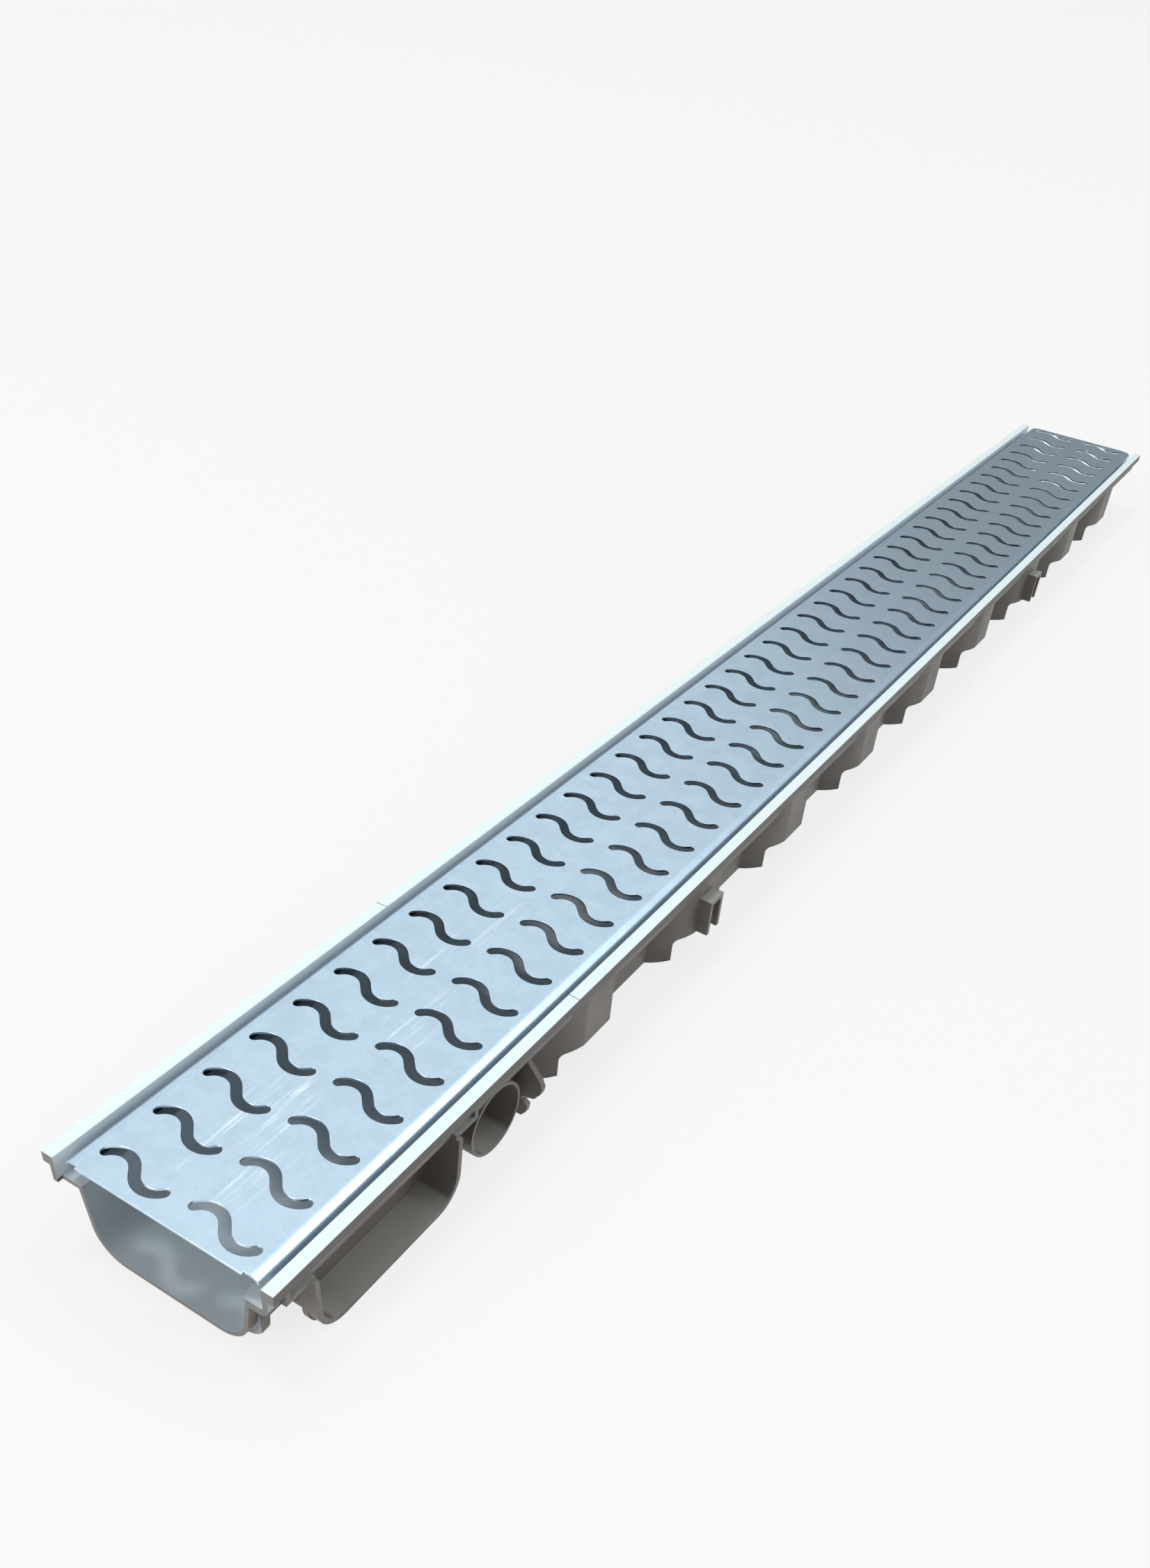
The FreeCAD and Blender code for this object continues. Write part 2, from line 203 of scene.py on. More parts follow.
@dataclass(frozen=True)
class Spot:
    """A point that is being shaded: where it lies and which way it faces.

    Attributes:
        place: Its coordinates.
        at: The same along each axis.
        facing: Its normal along each axis.
        across: Its distance from the channel's middle plane.
        outwards: How far it faces away from that plane, from -1 to 1.
    """

    place: bpy.types.NodeSocket
    at: Mapping[str, bpy.types.NodeSocket]
    facing: Mapping[str, bpy.types.NodeSocket]
    across: bpy.types.Node
    outwards: bpy.types.Node

    @classmethod
    def read(cls, graph: Graph) -> "Spot":
        """Adds the nodes that read the point.

        Args:
            graph: The graph that they are added to.

        Returns:
            What those nodes give.
        """
        place = graph.add("TexCoord").outputs["Object"]
        at = graph.add("SeparateXYZ", (place,)).outputs
        facing = graph.add("SeparateXYZ", (graph.add("NewGeometry").outputs["Normal"],)).outputs
        across = graph.add("Math", (at["X"],), operation="ABSOLUTE")
        side = graph.add("Math", (at["X"],), operation="SIGN")
        outwards = graph.add("Math", (facing["X"], side), operation="MULTIPLY")
        return cls(place, at, facing, across, outwards)


@dataclass(frozen=True)
class Marks:
    """Cloudy marks of a real size.

    Attributes:
        size_mm: About how wide one mark is.
        detail: How many finer marks lie in it.
        rough: How much those stand out.
        along: Scale along the channel, under 1 for marks that are drawn out lengthwise.
    """

    size_mm: float
    detail: float = 2.0
    rough: float = 0.5
    along: float = 1.0

    def build(self, graph: Graph, place: Source) -> bpy.types.Node:
        """Adds the marks.

        Args:
            graph: The graph that they are added to.
            place: The point's coordinates.

        Returns:
            The node that holds them, as values round a half.
        """
        if self.along != 1.0:
            place = graph.add("Mapping", {"Vector": place, "Scale": (1.0, self.along, 1.0)})
        return graph.add("TexNoise", {"Vector": place, "Scale": 1.0 / (self.size_mm * MM),
                                      "Detail": self.detail, "Roughness": self.rough})


@dataclass(frozen=True)
class SheetSteel:
    """Hot-dip galvanised steel sheet: cool grey metal, softly mottled by its zinc coat.

    Lengthwise scuffs show on the near stretch.  The flanges' outward faces get a plainer, greyer
    colour as a painted reflection, and the faces under the sheet that look into the channel get a dark
    painted shade.  The zinc's own grain is too fine to show, so grain_marks and
    dots are drawn as coarse as they need to be.  A pair of limits says where a mark or a
    stretch starts and where it is full.
    """

    name: str = "steel_sheet_hot_dip_galvanised"
    base: str = "#c2d9e9"
    shade: str = "#bad1e1"
    scuff: str = "#e9f4fb"
    spangle: str = "#7f97ab"
    # painted shade for the faces under the sheet that look into the channel
    painted_shade_under: str = "#525a60"
    # painted reflection for the flanges' outward faces
    flange: str = "#b9c4cd"
    roughness: float = 0.28
    roughness_spread: float = 0.08
    scuff_roughness: float = 0.12
    clouds: Marks = Marks(9.0, 4.0, 0.65)
    grain_marks: Marks = Marks(0.8, 3.0, 0.7)
    dots: Marks = Marks(1.5, 2.0, 0.6)
    scratches: Marks = Marks(1.8, 4.0, 0.7, along=0.035)
    worn_patches: Marks = Marks(16.0, along=0.4)
    waves: Marks = Marks(70.0, detail=1.0)
    wave_depth_mm: float = 0.18
    grain_depth_mm: float = 0.006
    grain_strength: float = 0.17
    dot_strength: float = 0.16
    worn_strength: float = 0.9
    faint_strength: float = 0.03
    worn_width_m: tuple[float, float] = (0.026, 0.003)
    worn_length_m: tuple[float, float] = (-0.24, -0.40)
    inside_depth_mm: tuple[float, float] = (0.95, 1.15)

    def scuffs(self, graph: Graph, spot: Spot) -> bpy.types.Node:
        """Adds the scuffs.

        Args:
            graph: The material's graph.
            spot: The point that is being shaded.

        Returns:
            Their mask, strong along the middle of the near stretch and faint elsewhere.
        """
        scratches = graph.mask((self.scratches.build(graph, spot.place), 0.50, 0.64))
        worn = graph.mask((spot.across, *self.worn_width_m), (spot.at["Y"], *self.worn_length_m),
                          (self.worn_patches.build(graph, spot.place), 0.42, 0.60))
        share = graph.add("Math", (worn, self.worn_strength, self.faint_strength), operation="MULTIPLY_ADD")
        return graph.add("Math", (scratches, share), operation="MULTIPLY")

    def inside(self, graph: Graph, spot: Spot, top: float) -> bpy.types.Node:
        """Finds the side that faces the channel, which gets painted shade.

        Args:
            graph: The material's graph.
            spot: The point that is being shaded.
            top: Z of the sheet's upper face, in metres.

        Returns:
            The mask of the faces under the sheet that look inwards or down.
        """
        shallow, deep = (top - depth * MM for depth in self.inside_depth_mm)
        inwards = graph.mask((spot.outwards, -0.3, -0.6))
        downward = graph.mask((spot.facing["Z"], -0.5, -0.8))
        either = graph.add("Math", (inwards, downward), operation="MAXIMUM")
        return graph.add("Math", (either, graph.mask((spot.at["Z"], shallow, deep))), operation="MULTIPLY")

    def build(self, top: float) -> bpy.types.Material:
        """Makes the material.

        Args:
            top: Z of the sheet's upper face, in metres.

        Returns:
            A metal with faint clouds, fine grain and lengthwise scuffs, with painted shade on the inner side
            and a painted reflection on the flanges' outward faces.
        """
        material, graph = new_material(self.name)
        spot = Spot.read(graph)
        clouds = self.clouds.build(graph, spot.place)
        grain = self.grain_marks.build(graph, spot.place)
        dots = self.dots.build(graph, spot.place)
        scuffs = self.scuffs(graph, spot)
        colour = graph.layered(
            self.base,
            (graph.mask((clouds, 0.38, 0.62)), self.shade),
            (graph.mask((grain, 0.40, 0.72), strength=self.grain_strength), self.scuff),
            (graph.mask((dots, 0.66, 0.74), strength=self.dot_strength), self.spangle),
            (scuffs, self.scuff),
            # painted shade: dark grey on the faces under the sheet that look into the channel
            (self.inside(graph, spot, top), self.painted_shade_under),
            # painted reflection: a plainer, greyer colour on the flanges' outward faces
            (graph.mask((spot.outwards, 0.86, 0.97)), self.flange))
        least = self.roughness - self.roughness_spread / 2
        rough = graph.add("Math", (clouds, self.roughness_spread, least), operation="MULTIPLY_ADD")
        rough = graph.add("Math", (scuffs, self.scuff_roughness, rough), operation="MULTIPLY_ADD")
        relief = graph.add("Bump", {"Height": self.waves.build(graph, spot.place), "Strength": 1.0,
                                    "Distance": self.wave_depth_mm * MM})
        relief = graph.add("Bump", {"Height": grain, "Strength": 1.0, "Normal": relief,
                                    "Distance": self.grain_depth_mm * MM})
        shader = graph.add("BsdfPrincipled", {
            "Base Color": colour, "Metallic": 1.0, "Roughness": rough, "Normal": relief})
        graph.add("OutputMaterial", {"Surface": shader})
        return material


@dataclass(frozen=True)
class MouldedPlastic:
    """Injection-moulded polypropylene: a satin grey, warm and mottled on the flanks.

    Light and shade are painted into the colour by where a face lies and which way it faces: the
    rim's tops are painted pale, the upward faces, the rebate and the flow channel lighter, the flow
    channel cooler, the lip's outer band darker, and the end faces get a painted grey of their own.
    The fine texture of the mould is drawn as coarse as it needs to be to show.
    from the middle plane, the depths of the lip, rebate and rim down from the rim's top,
    and the seam's station from the near end.
    """

    name: str = "polypropylene_injection_moulded_grey"
    flank: str = "#77726c"
    mottle: str = "#6d6863"
    # painted light: upward faces lighter
    painted_light_upward: str = "#a3a19d"
    # painted light and shade: a grey of their own for the end faces
    end: str = "#7c7a77"
    # painted shade: the lip's outer band darker
    lip: str = "#625b5b"
    # painted light: the rim's tops near white
    top: str = "#e6f6f7"
    # painted light: the rebate's upward faces pale
    painted_light_ledge: str = "#c3cbd0"
    # painted light: the rebate's walls pale, against the shade they stand in
    painted_light_wall: str = "#d8e3ea"
    # painted light: the flow channel's inside pale and cool
    inside: str = "#b6c0c7"
    seam: str = "#8e9494"
    roughness: float = 0.50
    roughness_spread: float = 0.16
    ior: float = 1.49
    clouds: Marks = Marks(22.0, 3.0, 0.55)
    texture: Marks = Marks(0.6)
    texture_depth_mm: float = 0.010
    edge_round_mm: float = 0.35
    shelf_mm: float = 46.1
    lip_mm: float = 48.8
    trough_mm: float = 35.2
    lip_depth_mm: float = 4.6
    rebate_depth_mm: float = 10.1
    rim_depth_mm: float = 0.1
    end_reach_mm: float = 2.5
    seam_station_mm: float = 168.3
    seam_width_mm: float = 0.5
    seam_core_mm: float = 0.15
    seam_strength: float = 0.8

    def colours(self, graph: Graph, spot: Spot, clouds: Source, low: Vector,
                high: Vector) -> bpy.types.NodeSocket:
        """Paints light and shade into each stretch of the moulding by where it lies and which way it faces;
        the mottle and the seam are the moulding's own marks.

        Args:
            graph: The material's graph.
            spot: The point that is being shaded.
            clouds: The marks that mottle the flanks.
            low: The lowest corner of the moulding, in metres.
            high: Its highest corner.

        Returns:
            The socket that holds the colour.
        """
        height, top, end = spot.at["Z"], high.z / MM, high.y / MM
        upward = (spot.facing["Z"], 0.75, 0.9)
        rebate = (past(height, top - self.rebate_depth_mm), short_of(spot.across, self.shelf_mm))
        rim = (upward, past(height, top - self.rim_depth_mm))
        endward = graph.add("Math", (spot.facing["Y"],), operation="ABSOLUTE")
        along = graph.add("Math", (spot.at["Y"],), operation="ABSOLUTE")
        offset = graph.add("Math", (spot.at["Y"], low.y + self.seam_station_mm * MM), operation="SUBTRACT")
        offset = graph.add("Math", (offset,), operation="ABSOLUTE")
        # Over the flank grey and its mottle, every layer but the seam is painted light and shade: the lip's
        # outer band darker, the upward faces, the flow channel, the rebate and the rim's tops lighter, and
        # the end faces a grey of their own.
        return graph.layered(
            self.flank,
            (graph.mask((clouds, 0.35, 0.65)), self.mottle),
            (graph.mask(past(spot.across, self.lip_mm), past(height, top - self.lip_depth_mm),
                        (spot.outwards, 0.6, 0.8)), self.lip),
            (graph.mask(upward), self.painted_light_upward),
            (graph.mask(short_of(spot.across, self.trough_mm), (spot.outwards, 0.2, 0.05),
                        (spot.facing["Z"], -0.5, -0.3)), self.inside),
            (graph.mask(*rebate), self.painted_light_wall),
            (graph.mask(*rebate, upward), self.painted_light_ledge),
            (graph.mask((endward, 0.7, 0.9), past(along, end - self.end_reach_mm)), self.end),
            (graph.mask(*rim), self.top),
            (graph.mask((offset, self.seam_width_mm * MM, self.seam_core_mm * MM), *rim,
                        strength=self.seam_strength), self.seam))

    def build(self, low: Vector, high: Vector) -> bpy.types.Material:
        """Makes the material.

        Args:
            low: The lowest corner of the moulding, in metres.
            high: Its highest corner.

        Returns:
            A dielectric whose colour carries painted light and shade, following the way a face looks and
            where it lies.
        """
        material, graph = new_material(self.name)
        spot = Spot.read(graph)
        clouds = self.clouds.build(graph, spot.place)
        least = self.roughness - self.roughness_spread / 2
        rough = graph.add("Math", (clouds, self.roughness_spread, least), operation="MULTIPLY_ADD")
        edges = graph.add("Bevel", {"Radius": self.edge_round_mm * MM}, samples=4)
        relief = graph.add("Bump", {"Height": self.texture.build(graph, spot.place), "Strength": 1.0,
                                    "Distance": self.texture_depth_mm * MM, "Normal": edges})
        shader = graph.add("BsdfPrincipled", {
            "Base Color": self.colours(graph, spot, clouds, low, high), "Roughness": rough,
            "Normal": relief, "IOR": self.ior, "Specular IOR Level": 0.5})
        graph.add("OutputMaterial", {"Surface": shader})
        return material


@dataclass(frozen=True)
class PaleFloor:
    """Plain white studio floor that keeps a faint shadow."""

    name: str = "studio_floor_matte_white"
    base: str = "#d8d8d8"
    white: str = "#ffffff"
    glow: float = 0.8

    def build(self) -> bpy.types.Material:
        """Makes the material.

        Returns:
            A matte white that turns into plain light for rays that are seen or mirrored.
        """
        material, graph = new_material(self.name)
        matte = graph.add("BsdfDiffuse", {"Color": linear(self.base)})
        white = graph.add("Emission", {"Color": linear(self.white), "Strength": 1.0})
        share = graph.add("Math", (graph.seen_rays(), self.glow), operation="MULTIPLY")
        mixed = graph.add("MixShader", (share, matte, white))
        graph.add("OutputMaterial", {"Surface": mixed})
        return material


# --- meshes ------------------------------------------------------------------------------
def finish_piece(name: str, mesh: bpy.types.Mesh, material: bpy.types.Material,
                 crease: float = math.radians(32)) -> bpy.types.Object:
    """Links a mesh as a piece that rides on the frame.

    Args:
        name: The piece's name.
        mesh: Its mesh, in the row frame.
        material: Its finish.
        crease: Angle between faces above which an edge stays sharp.

    Returns:
        The new object.
    """
    mesh.materials.clear()
    mesh.materials.append(material)
    mesh.shade_smooth()
    mesh.set_sharp_from_angle(angle=crease)
    piece = bpy.data.objects.new(name, mesh)
    bpy.context.collection.objects.link(piece)
    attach(piece, "root")
    LOG.info("%s: %d faces", name, len(mesh.polygons))
    return piece


def area(outline: Sequence[Point]) -> float:
    """Returns an outline's area, above zero where it runs anticlockwise."""
    pairs = zip(outline, [*outline[1:], outline[0]])
    return sum(x * v - u * y for (x, y), (u, v) in pairs) / 2


def wound(outline: Sequence[Point], anticlockwise: bool) -> Sequence[Point]:
    """Returns an outline that runs the way that is asked for."""
    return outline if (area(outline) > 0) == anticlockwise else outline[::-1]


def inset(outline: Sequence[Point], distance: float) -> list[Vector]:
    """Moves an outline's points towards its left.

    Args:
        outline: The closed outline.
        distance: How far each side moves.

    Returns:
        The moved points.
    """
    points = [Vector(point) for point in outline]
    moved = []
    for before, here, after in zip([points[-1], *points[:-1]], points, [*points[1:], points[0]]):
        first, second = (here - before).normalized(), (after - here).normalized()
        mean = (first + second).normalized()
        reach = distance / max(mean.dot(first), 0.3)
        moved.append(here + Vector((-mean.y, mean.x)) * reach)
    return moved


def ray(angle: float) -> Vector:
    """Returns the unit vector at an angle from the X axis."""
    return Vector((math.cos(angle), math.sin(angle)))


@dataclass(frozen=True)
class WaveSlot:
    """One wave-shaped slot, in millimetres: two opposite bends with round ends.

    Attributes:
        width: Width of the punched slot.
        rise: How far the crest of a bend lies from the slot's middle line.
        span: How far the middle of each round end lies from the slot's, along that line.
        slope: Slant of the straight stretch between the two bends.
        sweep: Turn from the crest of a bend to its round end.
        bend_chords: Straight pieces that draw each bend.
        tip_chords: Straight pieces that draw each round end.
    """

    width: float = 4.0
    rise: float = 4.0
    span: float = 13.7
    slope: float = math.radians(47.0)
    sweep: float = math.radians(51.3)
    bend_chords: int = 12
    tip_chords: int = 8

    def outline(self) -> list[Point]:
        """Draws the slot.

        Returns:
            Its closed outline round its own middle.
        """
        cos, sin = math.cos(self.slope), math.sin(self.slope)
        radius = ((self.span - self.rise / math.tan(self.slope))
                  / (math.tan(self.slope / 2) + math.sin(self.sweep)))
        bend = Vector((-(radius * (1 - cos) + self.rise * cos) / sin, self.rise - radius))
        end = math.pi / 2 + self.sweep
        turn = self.slope + self.sweep
        half = self.width / 2
        steps = [turn * i / self.bend_chords for i in range(self.bend_chords + 1)]
        outer = [bend + ray(end - a) * (radius + half) for a in steps]
        inner = [-(bend + ray(end - turn + a) * (radius - half)) for a in steps]
        tip = -(bend + ray(end) * radius)
        cap = [tip + ray(end - math.pi * i / self.tip_chords) * half
               for i in range(1, self.tip_chords)]
        side = outer + inner + cap
        return [(p.x, p.y) for p in side + [-p for p in side]]


@dataclass
class Grate:
    """The folded sheet grate with its two rows of slots, in millimetres.

    Attributes:
        low: The lowest corner of the plain solid that it replaces, in metres.
        high: That solid's highest corner.
        material: The sheet's finish.
        sheet: Thickness of the steel.
        bend_reach: How far out each bend goes.
        bend_drop: How far down it goes.
        bend_chords: Straight pieces that draw its quarter turn.
        step: How far it stops short of the sheet's ends.
        flange_setback: How far the upright flange stops short of them.
        corner_width: From the outer face to the step in the sheet's corners.
        pitch: From one slot to the next.
        first_slot: From the near end to the first slot's middle.
        last_margin: Least room past the last slot's middle.
        row: From the middle of the sheet to a row of slots.
        edge_round: Width of the eased edges.
        slot: The shape of one slot.
    """

    low: Vector
    high: Vector
    material: bpy.types.Material
    sheet: float = 1.0
    bend_reach: float = 3.9
    bend_drop: float = 2.6
    bend_chords: int = 12
    step: float = 1.1
    flange_setback: float = 6.0
    corner_width: float = 5.8
    pitch: float = 22.8
    first_slot: float = 9.9
    last_margin: float = 7.0
    row: float = 19.26
    edge_round: float = 0.06
    slot: WaveSlot = field(default_factory=WaveSlot)

    @property
    def half(self) -> float:
        """Half of the grate's width."""
        return self.high.x / MM

    @property
    def start(self) -> float:
        """Y of the near end."""
        return self.low.y / MM

    @property
    def end(self) -> float:
        """Y of the far end."""
        return self.high.y / MM

    @property
    def top(self) -> float:
        """Z of the sheet's top."""
        return self.high.z / MM

    def rim_outline(self) -> list[Point]:
        """Draws the flat sheet.

        Returns:
            Its outline, with the stepped corners.
        """
        flat = self.half - self.bend_reach
        notch = self.half - self.corner_width
        middle = (self.start + self.end) / 2
        reach = (self.end - self.start) / 2
        corner = [(notch, reach), (notch, reach - self.step), (flat, reach - self.step)]
        points = corner + [(x, -y) for x, y in reversed(corner)]
        points += [(-x, y) for x, y in reversed(points)]
        return [(x, middle + y) for x, y in points]

    def slot_outlines(self) -> Iterable[list[Point]]:
        """Draws every slot in its place.

        Yields:
            The outline of the next slot, row by row.
        """
        shape = self.slot.outline()
        room = self.end - self.start - self.first_slot - self.last_margin
        for row in (-self.row, self.row):
            for index in range(int(room / self.pitch) + 1):
                y = self.start + self.first_slot + index * self.pitch
                yield [(px + row, py + y) for px, py in shape]

    @staticmethod
    def fill(corners: Sequence[Vector], rings: Sequence[Sequence[int]]) -> list[list[int]]:
        """Fills the sheet's outline round its slots.

        Args:
            corners: The corners of all outlines.
            rings: Their numbers, for the sheet's outline and then for each slot.

        Returns:
            Triangles, each as three of those numbers.
        """
        loops = [rings[0], *(ring[::-1] for ring in rings[1:])]
        _, _, cells, sources, _, owners = delaunay_2d_cdt(corners, [], loops, INSIDE_LOOPS, MERGE_MM)
        # A triangle inside a slot has the slot's loop as a second owner, and is left out.
        return [[sources[corner][0] for corner in cell]
                for cell, owner in zip(cells, owners) if list(owner) == [0]]

    def plate(self) -> bpy.types.Object:
        """Builds the flat sheet, with its punched slots and slightly eased edges.

        Returns:
            The sheet between the two bends.
        """
        outlines = [wound(self.rim_outline(), anticlockwise=True)]
        outlines += [wound(slot, anticlockwise=False) for slot in self.slot_outlines()]
        walls = [Vector(point) for outline in outlines for point in outline]
        faces = [point for outline in outlines for point in inset(outline, self.edge_round)]
        rings, first = [], 0
        for outline in outlines:
            rings.append(list(range(first, first + len(outline))))
            first += len(outline)
        following = [corner for ring in rings for corner in [*ring[1:], ring[0]]]
        triangles = self.fill(faces, rings)
        count = len(walls)
        floor = self.top - self.sheet
        levels = ((faces, self.top), (walls, self.top - self.edge_round),
                  (walls, floor + self.edge_round), (faces, floor))
        points = [(p.x * MM, p.y * MM, z * MM) for places, z in levels for p in places]
        last = len(levels) - 1
        polygons = triangles + [[last * count + corner for corner in reversed(face)] for face in triangles]
        for level in range(last):
            top_ring, low_ring = level * count, (level + 1) * count
            polygons += [(top_ring + i, low_ring + i, low_ring + j, top_ring + j)
                         for i, j in enumerate(following)]
        mesh = bpy.data.meshes.new("grate_plate")
        mesh.from_pydata(points, [], polygons)
        return finish_piece("grate_plate", mesh, self.material)

    def bend_profile(self) -> list[Point]:
        """Draws the right bend.

        Returns:
            Its section in the XZ plane, outside first.
        """
        flat = self.half - self.bend_reach
        level = self.top - self.bend_drop
        turns = [math.pi / 2 * i / self.bend_chords for i in range(self.bend_chords + 1)]
        outside = [(flat + self.bend_reach * math.sin(turn), level + self.bend_drop * math.cos(turn))
                   for turn in turns]
        reach, drop = self.bend_reach - self.sheet, self.bend_drop - self.sheet
        inside = [(flat + reach * math.sin(turn), level + drop * math.cos(turn)) for turn in turns]
        return outside + inside[::-1]

    def flange_profile(self) -> list[Point]:
        """Draws the right upright flange.

        Returns:
            Its section in the XZ plane, outside first.
        """
        foot, thin = self.low.z / MM, self.edge_round
        level = self.top - self.bend_drop
        inner = self.half - self.sheet
        return [(self.half, level), (self.half, foot + thin), (self.half - thin, foot),
                (inner + thin, foot), (inner, foot + thin), (inner, level)]

    def fold(self, side: Side) -> bpy.types.Object:
        """Builds the bend and the upright flange on one side.

        Args:
            side: The side of the grate.

        Returns:
            The folded piece.
        """
        mesh = bpy.data.meshes.new(f"grate_fold_{side.name.lower()}")
        work = bmesh.new()
        sections = ((self.bend_profile(), self.step), (self.flange_profile(), self.flange_setback))
        for profile, setback in sections:
            rings = [[work.verts.new((side.value * x * MM, y * MM, z * MM)) for x, z in profile]
                     for y in (self.start + setback, self.end - setback)]
            for i, corner in enumerate(rings[0]):
                j = (i + 1) % len(profile)
                work.faces.new((corner, rings[0][j], rings[1][j], rings[1][i]))
            for ring in rings:
                work.faces.new(ring)
        bmesh.ops.recalc_face_normals(work, faces=work.faces)
        work.to_mesh(mesh)
        work.free()
        return finish_piece(mesh.name, mesh, self.material)

    def build(self) -> None:
        """Builds the sheet and its folds in place of the plain solid."""
        pieces = [self.plate(), self.fold(Side.RIGHT), self.fold(Side.LEFT)]
        for piece in pieces:
            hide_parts("grate")


@dataclass
class ChannelBody:
    """The one-piece moulding, kept from the frame and given its finish."""

    node: bpy.types.Object
    material: bpy.types.Material
    crease: float = math.radians(28)

    def build(self) -> None:
        """Gives the moulding its material and smooth round stretches."""
        mesh = self.node.data
        slots = self.node.material_slots
        if not slots:
            mesh.materials.append(self.material)
        for slot in slots:
            slot.material = self.material
        mesh.shade_smooth()
        mesh.set_sharp_from_angle(angle=self.crease)
        LOG.info("channel_body: %d faces", len(mesh.polygons))


# --- studio ------------------------------------------------------------------------------
@dataclass(frozen=True)
class SoftBox:
    """A large soft lamp aimed at the channel, by default at its middle."""

    name: str
    place: tuple[float, float, float]
    size: float
    power: float
    colour: str = "#ffffff"
    target: tuple[float, float, float] = (0.0, 0.0, 0.0)

    def build(self) -> None:
        """Adds the lamp."""
        lamp = bpy.data.lights.new(self.name, "AREA")
        lamp.shape = "SQUARE"
        lamp.size = self.size
        lamp.energy = self.power
        lamp.color = linear(self.colour)[:3]
        holder = bpy.data.objects.new(self.name, lamp)
        holder.location = self.place
        aim = Vector(self.target) - Vector(self.place)
        holder.rotation_euler = aim.to_track_quat("-Z", "Y").to_euler()
        bpy.context.collection.objects.link(holder)
        LOG.info("lamp %s: %.0f W", self.name, self.power)


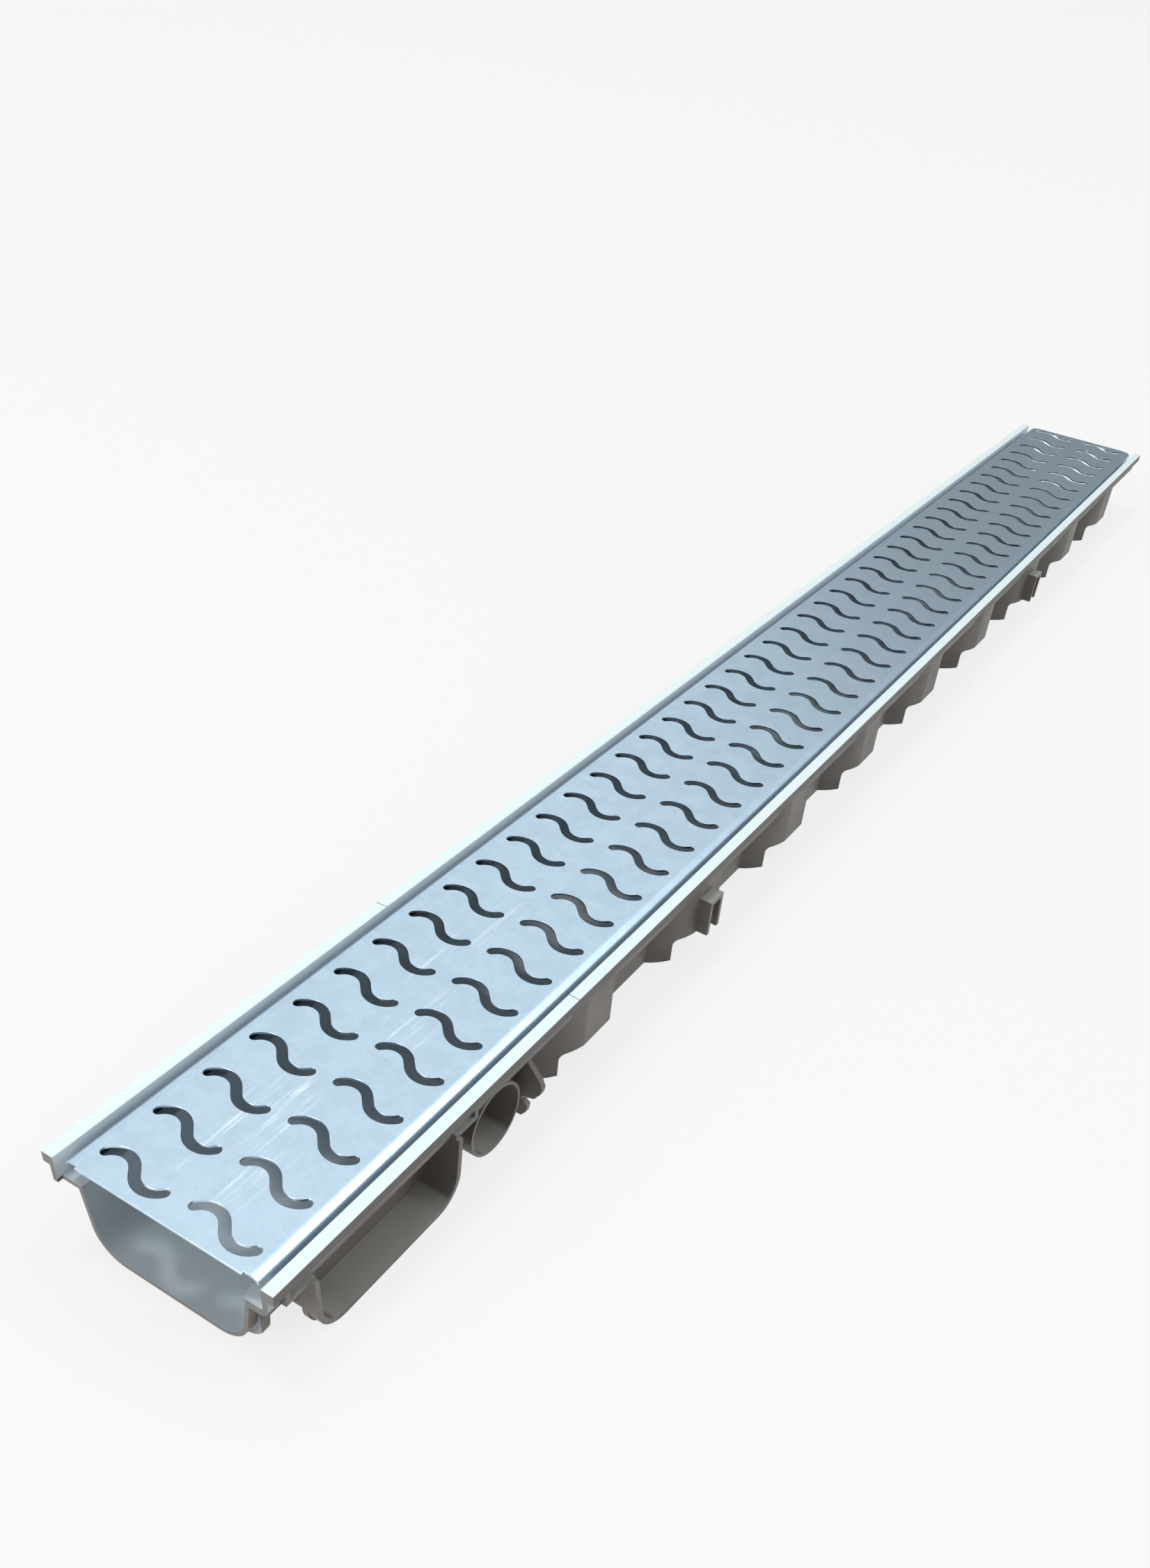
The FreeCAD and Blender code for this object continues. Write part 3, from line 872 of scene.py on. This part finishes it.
@dataclass(frozen=True)
class Studio:
    """Pale floor, graded sky of soft light and two large lamps.

    Attributes:
        floor_size: Side of the square floor, in metres.
        low: The sky's colour near the horizon.
        high: Its colour overhead.
        window: Its colour in the bright band ahead.
        strip: What the arch on the right adds to the band's strength.
        overhead: Where high takes over from low, upwards.
        band_height: Where the band starts and is full, upwards.
        band_reach: The same, forwards.
        gap_ahead: Where the window starts and is full, back from straight ahead.
        arch_side: Where the arch starts and is full, to the right.
        arch_reach: The same, back from straight ahead.
        lamps: The soft lamps.
    """

    floor_size: float = 60.0
    low: str = "#868686"
    high: str = "#9a9a9a"
    window: str = "#f8fbfd"
    strip: float = 1.6
    overhead: tuple[float, float] = (0.30, 0.60)
    band_height: tuple[float, float] = (0.04, 0.16)
    band_reach: tuple[float, float] = (0.24, 0.38)
    gap_ahead: tuple[float, float] = (0.892, 0.79)
    arch_side: tuple[float, float] = (-0.26, -0.08)
    arch_reach: tuple[float, float] = (0.72, 0.56)
    lamps: Sequence[SoftBox] = (
        SoftBox("overhead_key", (-2.1, -0.1, 8.0), 1.25, 158.0),
        SoftBox("front_fill", (-0.6, -2.4, 1.2), 0.9, 25.0, target=(0.0, -0.5, 0.02)),
    )

    def floor(self, height: float) -> None:
        """Lays the floor.

        Args:
            height: Z that the channel stands on, in metres.
        """
        mesh = bpy.data.meshes.new("studio_floor")
        half = self.floor_size / 2
        corners = [(-half, -half, height), (half, -half, height), (half, half, height), (-half, half, height)]
        mesh.from_pydata(corners, [], [(0, 1, 2, 3)])
        mesh.materials.append(PaleFloor().build())
        floor = bpy.data.objects.new("studio_floor", mesh)
        bpy.context.collection.objects.link(floor)

    def sky(self) -> None:
        """Grades the surrounding light: a bright band ahead, a brighter arch on the right.

        Seen and mirrored rays find pale sky all round, apart from a greyer stretch low ahead.
        The pairs of limits are shares of a direction's length that lie along an axis.
        """
        world = bpy.data.worlds.new("studio_sky")
        bpy.context.scene.world = world
        world.use_nodes = True
        graph = Graph(world.node_tree)
        way = graph.add("SeparateXYZ", (graph.add("TexCoord").outputs["Generated"],)).outputs
        band = graph.mask((way["Z"], *self.band_height), (way["Y"], *self.band_reach))
        pale = graph.add("Math", (band, graph.seen_rays()), operation="MAXIMUM")
        window = graph.add("Math", (pale, graph.mask((way["Y"], *self.gap_ahead))), operation="MULTIPLY")
        arch = graph.mask((way["X"], *self.arch_side), (way["Y"], *self.arch_reach))
        arch = graph.add("Math", (arch, band), operation="MULTIPLY")
        upper = graph.mask((way["Z"], *self.overhead))
        colour = graph.layered(self.low, (upper, self.high), (window, self.window))
        power = graph.add("Math", (arch, self.strip, 1.0), operation="MULTIPLY_ADD")
        light = graph.add("Background", {"Color": colour, "Strength": power})
        graph.add("OutputWorld", {"Surface": light})

    def build(self, ground: float) -> None:
        """Adds the floor, the sky and the lamps.

        Args:
            ground: Z that the channel stands on, in metres.
        """
        self.floor(ground)
        self.sky()
        for lamp in self.lamps:
            lamp.build()


@dataclass(frozen=True)
class ViewCamera:
    """The main camera: above the near right corner, looking along the channel.

    Attributes:
        place: Where it stands, in metres.
        turn: Its turns about X, Y and Z, in degrees.
        lens: Focal length, in millimetres.
        sensor: Longer side of the picture's film, in millimetres.
        shift: How far the lens is moved aside and up, as shares of that side.
        nearest: Distance from which things are seen, in metres.
    """

    place: tuple[float, float, float] = (0.23583, -0.67167, 0.37853)
    turn: tuple[float, float, float] = (49.806, -5.254, 31.693)
    lens: float = 31.058
    sensor: float = 36.0
    shift: tuple[float, float] = (-0.0222, 0.1241)
    nearest: float = 0.01

    def build(self) -> None:
        """Adds the camera and makes it the scene's own."""
        camera = bpy.data.cameras.new("main_camera")
        camera.sensor_fit = "AUTO"
        camera.sensor_width = self.sensor
        camera.lens = self.lens
        camera.shift_x, camera.shift_y = self.shift
        camera.clip_start = self.nearest
        holder = bpy.data.objects.new("main_camera", camera)
        holder.location = self.place
        holder.rotation_euler = [math.radians(angle) for angle in self.turn]
        bpy.context.collection.objects.link(holder)
        bpy.context.scene.camera = holder


def main() -> None:
    """Builds the finished channel drain and its studio."""
    logging.basicConfig(level=logging.INFO, format="%(name)s: %(message)s")
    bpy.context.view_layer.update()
    low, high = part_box("channel_body")
    ViewCamera().build()
    ChannelBody(frame["nodes"]["channel_body"], MouldedPlastic().build(low, high)).build()
    sheet_low, sheet_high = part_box("grate")
    Grate(sheet_low, sheet_high, SheetSteel().build(sheet_high.z)).build()
    Studio().build(low.z)
    bpy.context.scene.view_settings.view_transform = "Standard"
    bpy.context.view_layer.update()


if __name__ == "__main__":
    main()
